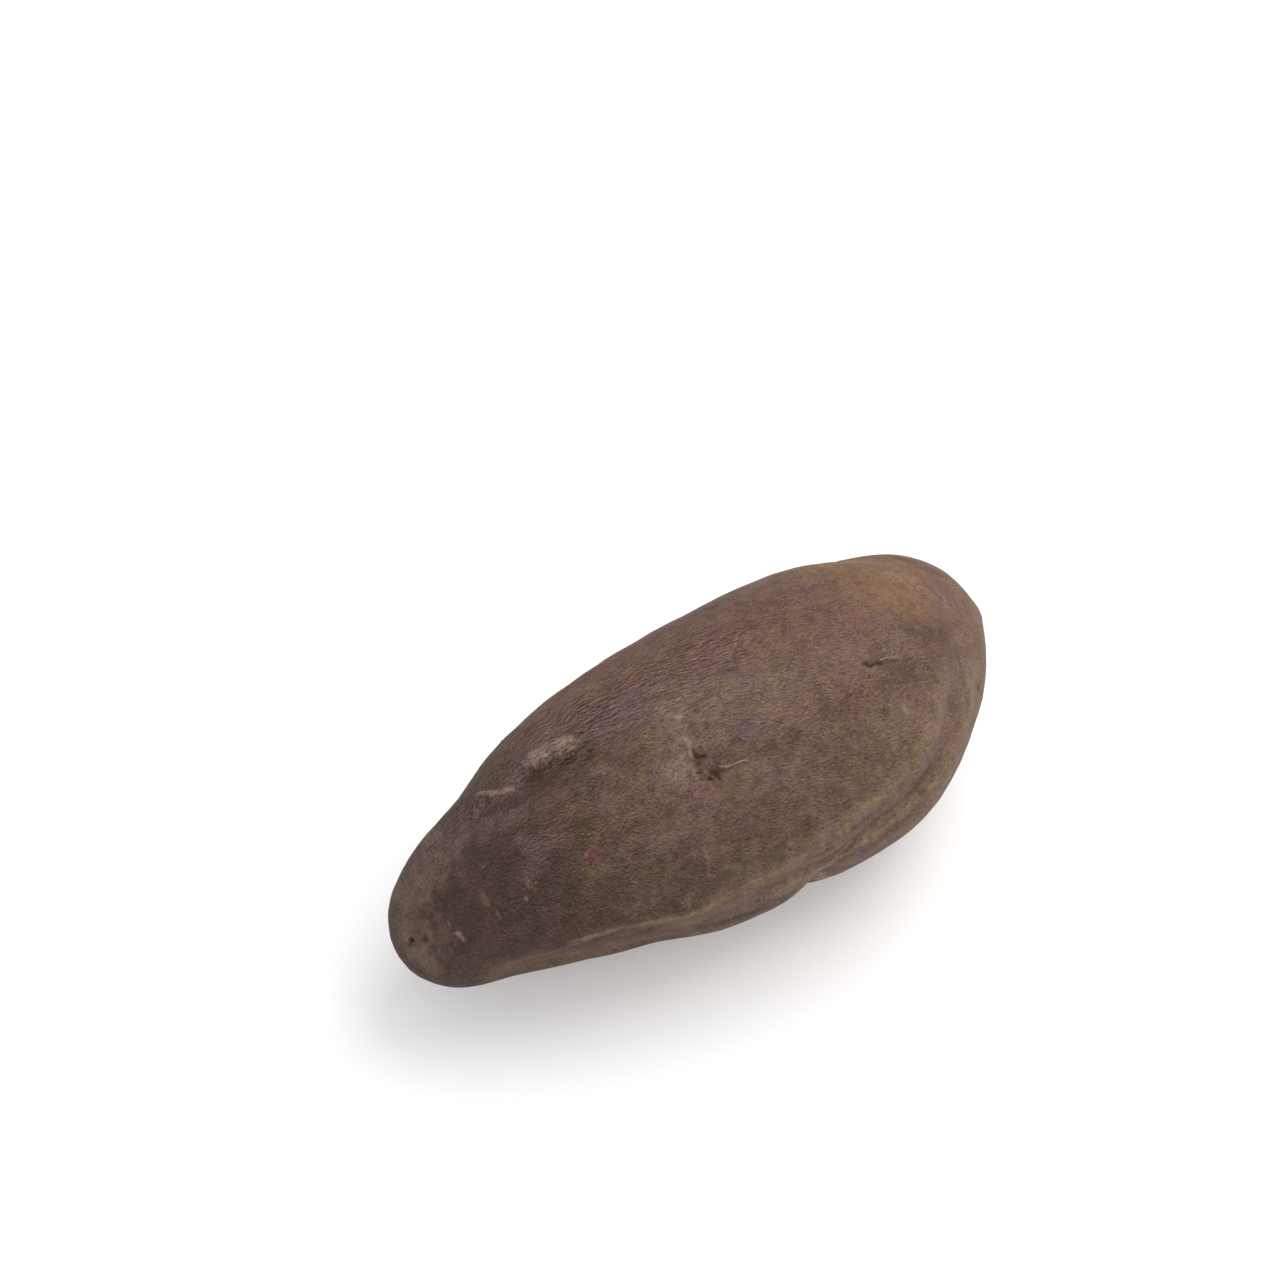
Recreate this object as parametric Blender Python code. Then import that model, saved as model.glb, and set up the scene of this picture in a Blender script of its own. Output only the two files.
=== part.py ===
"""A purple sweet potato, one storage root lying on its side, as one closed solid.

X runs along the root, from the narrow tail end at -X to the broad crown end at +X. The front, the side
that the main view shows, faces -Y. Z is up, and the root rests at Z = 0 on a small flat spot.
"""

import math

import bmesh
import bpy
from mathutils import Matrix, Vector, noise
from mathutils.bvhtree import BVHTree

MM = 0.001

# The whole root.
LENGTH = 165 * MM
HEIGHT_TO_WIDTH = 0.93
SECTION_ROUNDNESS = 2.1  # 2 is a plain ellipse, more is squarer
END_BLUNTNESS = 2.4  # 2 is a plain ellipse, more is blunter
AXIS_HEIGHT = 33 * MM  # of the straight line that places on the skin are measured from

# The body at stations along it, from the tail at -1 to the crown at 1.
STATIONS = (-1.0, -0.75, -0.45, -0.15, 0.15, 0.45, 0.75, 1.0)
HALF_WIDTHS = tuple(w * MM for w in (31.5, 28, 31, 34, 35.5, 37, 36, 37.5))
BENDS = tuple(b * MM for b in (6.3, 5.8, 4.8, 2.3, 0.8, 0.3, 4.8, 9.3))  # of the middle, towards the back
MIDDLE_HEIGHTS = tuple(h * MM for h in (23, 26, 29.4, 31.0, 32.2, 32.8, 31.5, 31))

# The flat spot that the root rests on.
REST_BLEND = 0.45 * MM  # height over which the underside eases into the flat spot

# Slow unevenness all over the skin.
LUMP_RISE = 0.5 * MM
LUMP_SIZE = 26 * MM

# Relief on the skin. Each stroke has how far it stands out, which is negative for a hollow, how far it
# reaches to each side, and the places that it passes. These lengths are in millimetres. A place is
# millimetres along X, and degrees of turn from the front, 0, over the top, 90, to the back, 180.
RELIEF = {
    # The long folds of the front, low on the broad half.
    "upper_fold": (0.9, 3.8, ((-66, -26), (-58, -17), (-52, -8), (-44, -4), (-30, -4), (-18, -1), (4, 7))),
    "upper_fold_end": (1.0, 3.8, ((4, 7), (12, 10), (21, 17), (31, 24), (41, 35), (50, 47))),
    "furrow": (-1.5, 3.2, ((-12, -5), (-4, -3), (6, -3), (15, 1), (22, 5), (29, 10), (35, 16), (46, 32))),
    "lower_fold": (1.0, 3.2, ((7, -13), (14, -8), (22, -4), (30, -1), (37, 4), (45, 11), (53, 21))),
    "notch": (-3.2, 4.0, ((6, -16), (5, -28), (2, -42))),
    "tail_waist": (-2.3, 8.0, ((-64, -42), (-46, -36), (-32, -36))),
    # Hollows and scars of the front and top.
    "eye_hollow": (-1.3, 4.2, ((-13, 63), (-16, 55))),
    "waist_crease": (-0.5, 3.8, ((-13, 81), (-16, 66), (-23, 38), (-26, 22))),
    "pale_swelling": (0.6, 6.5, ((-22, 69),)),
    "long_hollow": (-0.8, 4.5, ((-3, 49), (6, 48), (18, 51), (27, 52))),
    "crown_eye": (-0.8, 3.8, ((31, 64), (37, 57))),
    "crown_wart": (0.6, 3.4, ((31, 41),)),
    "big_scar": (1.1, 3.4, ((-43, 126), (-39, 119), (-34, 111))),
    "small_scar": (0.7, 3.2, ((-53, 137), (-50, 124))),
    "scar_hollow": (-1.2, 4.5, ((-56, 125), (-48, 115), (-40, 106), (-31, 98))),
    "shoulder_dip": (-1.3, 7.0, ((-17, 133), (-6, 130), (12, 128))),
    # The back and the underside, which the front view hides.
    "back_furrow": (-1.3, 3.8, ((-34, -176), (-20, 178), (-5, 175), (12, 169), (28, 171), (44, 177))),
    "back_fold": (0.8, 3.8, ((-30, 169), (-12, 163), (8, 155), (26, 157), (42, 163))),
    "back_hollow": (-1.0, 6.0, ((50, 141), (56, 133))),
    "tail_hollow": (-0.9, 5.0, ((-58, 176), (-52, 166))),
    "under_furrow": (-1.1, 4.0, ((10, -134), (26, -140), (44, -142))),
    # Where the root was broken from its stem, at the crown end.
    "crown_neck": (1.8, 5.5, ((87, 0),)),
}

# Mesh of the solid. Its sides stand closer together where the folds are.
RINGS = 90
SIDES = 62
CROWDING = 0.35
CROWDED_TURN = math.radians(15)
NODE = "sweet_potato"

# Its finish.
SKIN_COLOUR = (0.13, 0.082, 0.072, 1)
SKIN_ROUGHNESS = 0.6


def smooth_through(x, stations, values):
    """A smooth curve through the values at the stations, read at x."""
    slopes = []
    for i in range(len(stations)):
        before, after = max(i - 1, 0), min(i + 1, len(stations) - 1)
        slopes.append((values[after] - values[before]) / (stations[after] - stations[before]))
    i = max(k for k in range(len(stations) - 1) if stations[k] <= x or k == 0)
    span = stations[i + 1] - stations[i]
    t = (x - stations[i]) / span
    start = (2 * t**3 - 3 * t**2 + 1) * values[i] + (t**3 - 2 * t**2 + t) * span * slopes[i]
    end = (3 * t**2 - 2 * t**3) * values[i + 1] + (t**3 - t**2) * span * slopes[i + 1]
    return start + end


def body_point(direction):
    """Where a point of the unit sphere goes on the smooth body."""
    share = max(-1.0, min(1.0, direction.x))
    turn = math.atan2(direction.z, -direction.y)
    turn -= CROWDING * math.sin(turn - CROWDED_TURN)
    taper = math.sqrt(1 - abs(share) ** END_BLUNTNESS)
    half_width = smooth_through(share, STATIONS, HALF_WIDTHS) * taper
    across, up = math.cos(turn), math.sin(turn)
    reach = (abs(across) ** SECTION_ROUNDNESS + abs(up) ** SECTION_ROUNDNESS) ** (-1 / SECTION_ROUNDNESS)
    middle_y = smooth_through(share, STATIONS, BENDS)
    middle_z = smooth_through(share, STATIONS, MIDDLE_HEIGHTS)
    return Vector(
        (
            share * LENGTH / 2,
            middle_y - half_width * reach * across,
            middle_z + half_width * HEIGHT_TO_WIDTH * reach * up,
        )
    )


def smooth_body():
    """The body with no relief on it, as a bmesh."""
    bm = bmesh.new()
    poles_on_x = Matrix.Rotation(math.radians(90), 4, "Y")
    bmesh.ops.create_uvsphere(bm, u_segments=SIDES, v_segments=RINGS, radius=1, matrix=poles_on_x)
    for vertex in bm.verts:
        vertex.co = body_point(vertex.co)
    bm.normal_update()
    return bm


def place_on(skin, along, turn):
    """The point of the skin at a place. A place past an end of the root is on the skin nearest to it."""
    middle = Vector((along * MM, 0, AXIS_HEIGHT))
    outwards = Vector((0, -math.cos(math.radians(turn)), math.sin(math.radians(turn))))
    point = skin.ray_cast(middle, outwards)[0]
    return skin.find_nearest(middle)[0] if point is None else point


def distance_to_stroke(point, stops):
    """How far a point is from the line through the stops, or from the stop where there is one."""
    nearest = (point - stops[0]).length
    for start, end in zip(stops, stops[1:]):
        run = end - start
        share = max(0, min(1, (point - start).dot(run) / run.length_squared))
        nearest = min(nearest, (point - start - run * share).length)
    return nearest


def add_relief(bm):
    """Moves the skin in and out along its normals by the strokes and the slow unevenness."""
    skin = BVHTree.FromBMesh(bm)
    strokes = [
        (rise * MM, reach * MM, [place_on(skin, along, turn) for along, turn in places])
        for rise, reach, places in RELIEF.values()
    ]
    moves = []
    for vertex in bm.verts:
        rise = LUMP_RISE * noise.noise(vertex.co / LUMP_SIZE)
        for height, reach, stops in strokes:
            rise += height * math.exp(-((distance_to_stroke(vertex.co, stops) / reach) ** 2))
        moves.append(vertex.normal * rise)
    for vertex, move in zip(bm.verts, moves):
        vertex.co += move


def flatten_underside(bm):
    """Lays what would reach below Z = 0 flat on it, with a soft edge round the flat spot."""
    for vertex in bm.verts:
        height = vertex.co.z
        if height < -REST_BLEND:
            vertex.co.z = 0
        elif height < REST_BLEND:
            vertex.co.z = (height + REST_BLEND) ** 2 / (4 * REST_BLEND)


def centre_on_origin(bm):
    """Puts the middle of the root's box over the origin."""
    for axis in (0, 1):
        reach = [vertex.co[axis] for vertex in bm.verts]
        middle = (min(reach) + max(reach)) / 2
        for vertex in bm.verts:
            vertex.co[axis] -= middle


def skin_material():
    """The dull purple-brown skin."""
    material = bpy.data.materials.new("skin")
    material.use_nodes = True
    shader = material.node_tree.nodes["Principled BSDF"]
    shader.inputs["Base Color"].default_value = SKIN_COLOUR
    shader.inputs["Roughness"].default_value = SKIN_ROUGHNESS
    shader.inputs["Metallic"].default_value = 0
    return material


def sweet_potato():
    """The whole root as one object, smooth to look at."""
    bm = smooth_body()
    add_relief(bm)
    flatten_underside(bm)
    centre_on_origin(bm)
    mesh = bpy.data.meshes.new(NODE)
    bm.to_mesh(mesh)
    bm.free()
    mesh.shade_smooth()
    mesh.materials.append(skin_material())
    return bpy.data.objects.new(NODE, mesh)


def main():
    for obj in list(bpy.data.objects):
        bpy.data.objects.remove(obj)
    collection = bpy.data.collections.new("purple_sweet_potato")
    bpy.context.scene.collection.children.link(collection)
    collection.objects.link(sweet_potato())


main()
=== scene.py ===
# %% [markdown]
# # A purple sweet potato
#
# A sweet potato is a storage root. It grew as one piece, so the whole lesson is about one shape and its
# skin: a body with folds pressed into it, a dull thin skin with short fibres, stains, scars and eyes, a few
# hair-thin rootlets, and the torn stub where the root hung on its stem.
#
# The imported model gives the body at its true size. It is coarse and plain on purpose, and this script
# lays the real surface over it. First it is loaded.

import math
import random

import bpy
import numpy as np
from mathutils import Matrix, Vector, noise
from mathutils.bvhtree import BVHTree


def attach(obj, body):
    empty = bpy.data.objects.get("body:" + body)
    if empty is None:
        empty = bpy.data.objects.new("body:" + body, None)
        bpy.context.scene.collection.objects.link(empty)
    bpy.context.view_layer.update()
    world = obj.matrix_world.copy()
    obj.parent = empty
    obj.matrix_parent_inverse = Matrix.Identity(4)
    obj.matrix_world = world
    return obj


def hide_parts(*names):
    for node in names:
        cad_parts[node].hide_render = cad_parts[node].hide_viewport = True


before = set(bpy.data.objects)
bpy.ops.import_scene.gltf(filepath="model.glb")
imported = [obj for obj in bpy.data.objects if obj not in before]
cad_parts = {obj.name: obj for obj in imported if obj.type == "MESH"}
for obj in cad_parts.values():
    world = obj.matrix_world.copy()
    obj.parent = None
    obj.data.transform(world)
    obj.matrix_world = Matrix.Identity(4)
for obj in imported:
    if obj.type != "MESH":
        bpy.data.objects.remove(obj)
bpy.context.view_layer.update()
root_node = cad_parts["sweet_potato"]
MM = 0.001

# %% [markdown]
# ## Camera
#
# The picture looks down on the root from its front left. A camera could be placed by eye, but the root's
# outline fixes it well: these angles, this distance and a 50 mm lens put the outline where the photograph
# has it. The point that it looks at lies on the floor behind the root, so the root stands low in the
# picture.

# %% Place the camera
CAMERA_AZIMUTH = math.radians(-36)
CAMERA_HEIGHT_ANGLE = math.radians(46)
CAMERA_DISTANCE = 482 * MM
CAMERA_TARGET = Vector((27.7, 69.9, 0)) * MM
LENS = 50

towards_camera = Vector(
    (
        math.sin(CAMERA_AZIMUTH) * math.cos(CAMERA_HEIGHT_ANGLE),
        -math.cos(CAMERA_AZIMUTH) * math.cos(CAMERA_HEIGHT_ANGLE),
        math.sin(CAMERA_HEIGHT_ANGLE),
    )
)
bpy.ops.object.camera_add(location=CAMERA_TARGET + towards_camera * CAMERA_DISTANCE)
camera = bpy.context.object
camera.rotation_euler = (-towards_camera).to_track_quat("-Z", "Y").to_euler()
camera.data.lens = LENS
bpy.context.scene.camera = camera
print("camera at, mm:", [round(value / MM) for value in camera.location])

# %% [markdown]
# ## An even skin over the body
#
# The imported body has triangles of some 3 mm, far too coarse for a skin. It could be subdivided, but its
# triangles are long on the back and short on the front. A voxel remesh gives the same small squares
# everywhere instead. The copy's loose triangles are merged and subdivided once first, so that the remesh
# follows a smooth shape, and a light smoothing afterwards takes away the steps that voxels leave.

# %% Copy, merge, remesh and smooth the body
SKIN_SQUARE = 0.76 * MM


def select_only(obj):
    """Makes an object the only selected one, and the active one."""
    bpy.ops.object.select_all(action="DESELECT")
    obj.select_set(True)
    bpy.context.view_layer.objects.active = obj


def finish_with(obj, kind, **settings):
    """Adds a modifier of a kind to an object, sets it up and applies it."""
    select_only(obj)
    modifier = obj.modifiers.new(kind.lower(), kind)
    for name, value in settings.items():
        setattr(modifier, name, value)
    bpy.ops.object.modifier_apply(modifier=modifier.name)


skin = bpy.data.objects.new("root_skin", root_node.data.copy())
skin.data.materials.clear()
bpy.context.collection.objects.link(skin)
select_only(skin)
bpy.ops.object.mode_set(mode="EDIT")
bpy.ops.mesh.select_all(action="SELECT")
bpy.ops.mesh.remove_doubles(threshold=0.01 * MM)
bpy.ops.mesh.tris_convert_to_quads()
bpy.ops.object.mode_set(mode="OBJECT")
finish_with(skin, "SUBSURF", levels=1, render_levels=1)
finish_with(skin, "REMESH", mode="VOXEL", voxel_size=SKIN_SQUARE)
finish_with(skin, "SMOOTH", factor=0.5, iterations=8)
print("skin squares:", len(skin.data.polygons))

# %% [markdown]
# ## Places on the skin
#
# Every fold, scar and stain needs a place. A pixel or a vertex number would say nothing to a reader, so a
# place is two numbers that can be read off the real root: how far along it, in millimetres from its
# middle, and how far round it, in degrees from the front over the top to the back. A ray from the root's
# middle line finds the skin there. A place past an end is on the skin nearest to it. A scar is longer than
# one place, so a path runs smoothly through several.

# %% Find places and paths on the skin
MIDDLE_LINE_HEIGHT = 33 * MM
PATH_STEPS = 5
smooth_body = BVHTree.FromObject(skin, bpy.context.evaluated_depsgraph_get())


def on_skin(along, turn, lift=0, surface=smooth_body):
    """The point at a place on the skin, or that many millimetres over it."""
    middle = Vector((along * MM, 0, MIDDLE_LINE_HEIGHT))
    outwards = Vector((0, -math.cos(math.radians(turn)), math.sin(math.radians(turn))))
    point, normal = surface.ray_cast(middle, outwards)[:2]
    if point is None:
        point, normal = surface.find_nearest(middle)[:2]
    return point + normal * lift * MM


def smooth_places(places):
    """The places with more between them, on a smooth curve through them all."""
    stops = [np.array(place, float) for place in places]
    if len(stops) == 1:
        return stops
    stops = [2 * stops[0] - stops[1]] + stops + [2 * stops[-1] - stops[-2]]
    curve = []
    for before, start, end, after in zip(stops, stops[1:], stops[2:], stops[3:]):
        for step in range(PATH_STEPS):
            t = step / PATH_STEPS
            pull = (after - 3 * end + 3 * start - before) * t**3
            lean = (2 * before - 5 * start + 4 * end - after) * t**2
            curve.append(start + 0.5 * ((end - before) * t + lean + pull))
    return curve + [stops[-2]]


def path_on_skin(places):
    """The points of a smooth path over the skin, as rows."""
    return np.array([on_skin(*place) for place in smooth_places(places)])


print("the top of the middle is at, mm:", [round(value / MM, 1) for value in on_skin(0, 90)])

# %% [markdown]
# ## Nearness
#
# A fold, a scar and a stain all fade out sideways. So each vertex asks how near it is to a path, and gets 1
# on it and less away from it, along a bell curve. A straight ramp would be simpler, but its ends would show
# as edges. Most vertices are far from any one path, so only those in a box round it are measured.

# %% Measure how near the vertices are to a path
CUT_OFF = 3  # reaches from a path, past which the nearness is left at 0


def distance_to(points, path):
    """How far each point is from a path."""
    nearest = np.linalg.norm(points - path[0], axis=1)
    for start, end in zip(path, path[1:]):
        run = end - start
        share = np.clip((points - start) @ run / (run @ run), 0, 1)
        nearest = np.minimum(nearest, np.linalg.norm(points - start - np.outer(share, run), axis=1))
    return nearest


def nearness(points, reach, places):
    """How near each point is to the path through the places, with a reach in millimetres."""
    reach = reach * MM
    path = path_on_skin(places)
    margin = CUT_OFF * reach
    near = np.all((points > path.min(0) - margin) & (points < path.max(0) + margin), axis=1)
    value = np.zeros(len(points))
    value[near] = np.exp(-((distance_to(points[near], path) / reach) ** 2))
    return value


def vertex_rows(mesh, what):
    """A mesh's vertex positions, "co", or directions outwards, "normal", as rows."""
    rows = np.empty(len(mesh.vertices) * 3)
    mesh.vertices.foreach_get(what, rows)
    return rows.reshape(-1, 3)


points = vertex_rows(skin.data, "co")
near_top = nearness(points, 10, ((0, 90),))
print("vertices near the top of the middle:", int((near_top > 0.5).sum()))

# %% [markdown]
# ## Finer squares for the small marks
#
# The cracks of the eyes and the thin scars are hardly wider than the squares, which would lose them. Smaller
# squares everywhere would be too many, so only those round the small marks are divided, twice.

# %% Divide the squares round the small marks
SMALL_PITS = ((60, 19), (-81, -131), (17, 35), (30, 42), (-28, 66), (-42, -47))
FAR_EYES = ((22, 164), (-38, 186), (66, 166), (50, -112), (-48, -96), (-8, -150), (-66, 200))
SMALL_MARKS = (  # reach in millimetres, and places
    (4.0, ((-15, 78), (-16, 70), (-15, 59), (-12, 57))),
    (3.2, ((27, 62), (30, 63), (35, 62))),
    (4.0, ((-44, 121), (-38, 114), (-31, 106))),
    (3.6, ((-55, 136), (-50, 125), (-48, 120))),
    (2.5, ((-22, 31), (-24, 14))),
    (2.0, ((-20, 27), (-12, 25))),
    (2.2, ((7, -5), (11, -2))),
    (2.2, ((26, 4), (31, 8))),
    (3.0, ((-44, 50), (-44, 54))),
    *((2.2, (place,)) for place in (*SMALL_PITS, *FAR_EYES)),
)
DIVIDE_WITHIN = (0.5, 0.6)  # nearness to a small mark, the first and the second time

for limit in DIVIDE_WITHIN:
    points = vertex_rows(skin.data, "co")
    near_mark = np.max([nearness(points, *mark) for mark in SMALL_MARKS], axis=0) > limit
    chosen = [bool(near_mark[list(face.vertices)].all()) for face in skin.data.polygons]
    skin.data.polygons.foreach_set("select", chosen)
    select_only(skin)
    bpy.ops.object.mode_set(mode="EDIT")
    bpy.ops.mesh.select_mode(type="FACE")
    bpy.ops.mesh.subdivide(smoothness=0)
    bpy.ops.object.mode_set(mode="OBJECT")
points = vertex_rows(skin.data, "co")
outwards = vertex_rows(skin.data, "normal")
print("triangles now:", sum(len(face.vertices) - 2 for face in skin.data.polygons))

# %% [markdown]
# ## Folds, scars and eyes
#
# The root pressed against soil and stones as it swelled, which left long folds low on its front. Its skin
# healed over knocks as raised corky scars, and each eye is a small pit where a side root grew. They could
# be sculpted by hand, but written as strokes they stay easy to read and change. A stroke says how far it
# stands out, which is negative for a hollow, how far it reaches to each side, both in millimetres, and
# the places that it passes. Noise breaks the scars and the eyes up, so that they are rough and uneven.

# %% Raise and sink the skin along strokes
UPPER_FOLD_START = ((-53, -8), (-47, -3), (-41, -2), (-34, -3), (-30, -4), (-26, -1))
UPPER_FOLD = ((-26, -1), (-20, 4), (-13, 6), (-7, 7), (0, 11), (5, 12), (10, 15), (15, 17), (20, 20))
UPPER_FOLD_END = ((20, 20), (25, 24), (30, 27), (36, 31), (42, 38), (47, 45))
LOWER_FOLD = ((-9, -10), (-4, -8), (2, -8), (7, -6), (11, -3), (15, -2), (20, 1), (25, 4), (30, 6), (38, 11))
LOWER_FOLD_END = ((38, 11), (46, 17), (53, 23), (58, 29))
FOLDS = {
    "upper fold's start": (0.2, 1.4, UPPER_FOLD_START),
    "upper fold": (0.3, 1.7, UPPER_FOLD),
    "upper fold's end": (0.25, 2.2, UPPER_FOLD_END),
    "upper fold's dip": (-0.2, 1.4, ((-14, -5), (-6, -5))),
    "furrow": (-0.25, 1.3, ((-3, -3), (3, -4), (8, -1), (13, 2), (19, 6), (27, 10), (36, 18), (44, 28))),
    "lower fold": (0.4, 1.1, LOWER_FOLD),
    "lower fold's end": (0.25, 1.6, LOWER_FOLD_END),
    "low line": (0.15, 0.8, ((-22, -12), (-16, -13), (-9, -13), (-3, -13))),
    "low crease": (-0.2, 0.9, ((-44, -26), (-30, -20), (-18, -18), (-8, -20))),
    "long hollow": (-0.3, 2.4, ((-6, 57), (0, 55), (6, 53), (18, 51), (27, 52))),
    "hollow by the big scar": (-0.9, 2.4, ((-46, 118), (-41, 112), (-37, 106), (-33, 102))),
    "hollow by the small scar": (-0.35, 1.5, ((-55, 134), (-52, 126), (-49, 116))),
    "pale swelling": (0.3, 3.5, ((-22, 64), (-20, 72))),
    "back crease": (-0.35, 1.2, ((-22, 176), (-8, 171), (6, 167), (18, 168))),
}
SCARS = {
    "big scar": (0.25, 2.0, ((-43, 121), (-40, 118), (-37, 115), (-35, 113), (-33, 109))),
    "big scar's knob": (0.3, 1.4, ((-42.5, 121), (-40.5, 119))),
    "small scar": (0.35, 0.9, ((-54.5, 142), (-53, 135), (-51, 127), (-49, 122))),
    "thin scar": (0.2, 0.6, ((-51, 126.5), (-47.5, 126), (-44, 125))),
    "upright scar": (0.15, 0.9, ((-23.5, 30), (-23.5, 23), (-24, 15))),
    "upright scar's side": (0.12, 0.8, ((-22, 28), (-20, 26))),
    "fine crack": (-0.2, 0.4, ((-18, 27), (-15, 26), (-12, 25))),
    "short crack": (-0.2, 0.4, ((-19, 14), (-17, 14))),
    "wart": (0.35, 1.2, ((30, 42),)),
    "wart's pit": (-0.2, 0.5, ((30.5, 43),)),
    "back scar": (0.45, 1.5, ((-12, 168), (-4, 172), (4, 171))),
    "end scar": (0.3, 1.2, ((76, -20), (78, -50), (76, -80))),
    "under scar": (0.3, 1.3, ((-26, -118), (-16, -124))),
}
EYES_AND_PITS = {
    "eye's hollow": (-0.6, 2.2, ((-16, 66), (-15, 60), (-15, 56))),
    "eye's thin crack": (-0.2, 0.4, ((-14, 77), (-14, 75), (-14, 73))),
    "eye's crack": (-0.35, 0.45, ((-16, 71), (-16, 69), (-16, 67), (-14.5, 66))),
    "eye's arcs": (-0.25, 0.4, ((-18, 61), (-17, 60))),
    "eye's lower arc": (-0.25, 0.4, ((-18, 58.5), (-17, 56.5), (-15.5, 56))),
    "eye's side arc": (-0.2, 0.4, ((-14.5, 57), (-14.5, 53.5))),
    "eye's lip": (0.25, 0.6, ((-16.8, 72), (-17.2, 69), (-17, 66))),
    "eye's crumb": (0.25, 0.6, ((-14, 69.5),)),
    "eye's swellings": (0.2, 0.6, ((-14.2, 62), (-14.2, 60))),
    "crown eye's crack": (-0.4, 0.45, ((28, 65), (29, 63.2), (30, 63), (31.5, 62.5))),
    "crown eye's lip": (0.3, 0.5, ((28.8, 65), (29.8, 64.2))),
    "crown eye's ridges": (0.2, 0.6, ((34, 68), (37, 67), (39, 64))),
    "crown dot": (-0.4, 0.5, ((27, 60),)),
    "crown blob": (0.3, 0.8, ((29, 53.5),)),
    "tail pit": (-1.3, 0.8, ((-81, -133),)),
    "tail smear": (-0.2, 0.8, ((-82, -100), (-81, -84))),
    "edge pit": (-0.9, 0.7, ((60, 18),)),
    "edge pit's lip": (0.3, 0.7, ((61, 21),)),
    "first slot": (-0.4, 0.4, ((7.5, -5), (9, -4), (10.5, -2.5))),
    "second slot": (-0.35, 0.4, ((26.5, 5), (28, 5.5), (30, 7))),
    "low pit": (-0.7, 0.6, ((-42, -47),)),
    "soft spot": (-0.25, 1.2, ((-39, -9),)),
    "low crumb": (0.35, 0.7, ((-20, -14.5),)),
    "low crumb's crack": (-0.3, 0.5, ((-21, -12), (-19, -11.5))),
    "rosy spot": (0.15, 1.7, ((-44, 50), (-44, 53))),
    "middle dot": (-0.3, 0.6, ((17, 34),)),
    "middle dot's lip": (0.25, 0.6, ((16, 36),)),
    "left ring": (-0.35, 0.9, ((-28, 66),)),
    "left crumb": (0.4, 0.5, ((-28, 66),)),
}
for number, (along, turn) in enumerate(FAR_EYES):
    EYES_AND_PITS[f"far eye {number}"] = (-0.8, 0.7, ((along, turn - 1), (along + 1, turn + 2)))
    EYES_AND_PITS[f"far eye {number}'s lip"] = (0.4, 0.7, ((along - 2, turn + 1), (along - 1, turn + 4)))
BROKEN = 1.3 * MM  # size of the lumps that break up the scars and the eyes


def noise_at(points, size):
    """Noise from -1 to 1 at each point, with grains of a size, which may differ along each axis."""
    return np.array([noise.noise(Vector(point)) for point in points / np.array(size)])


def relief(points, strokes):
    """How far the strokes move each point outwards."""
    return sum(height * MM * nearness(points, reach, places) for height, reach, places in strokes.values())


broken = 1 + noise_at(points, BROKEN)
rise = relief(points, FOLDS) + broken * (relief(points, SCARS) + relief(points, EYES_AND_PITS))
print("folds, scars and eyes, mm:", round(rise.min() / MM, 2), "to", round(rise.max() / MM, 2))
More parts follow.
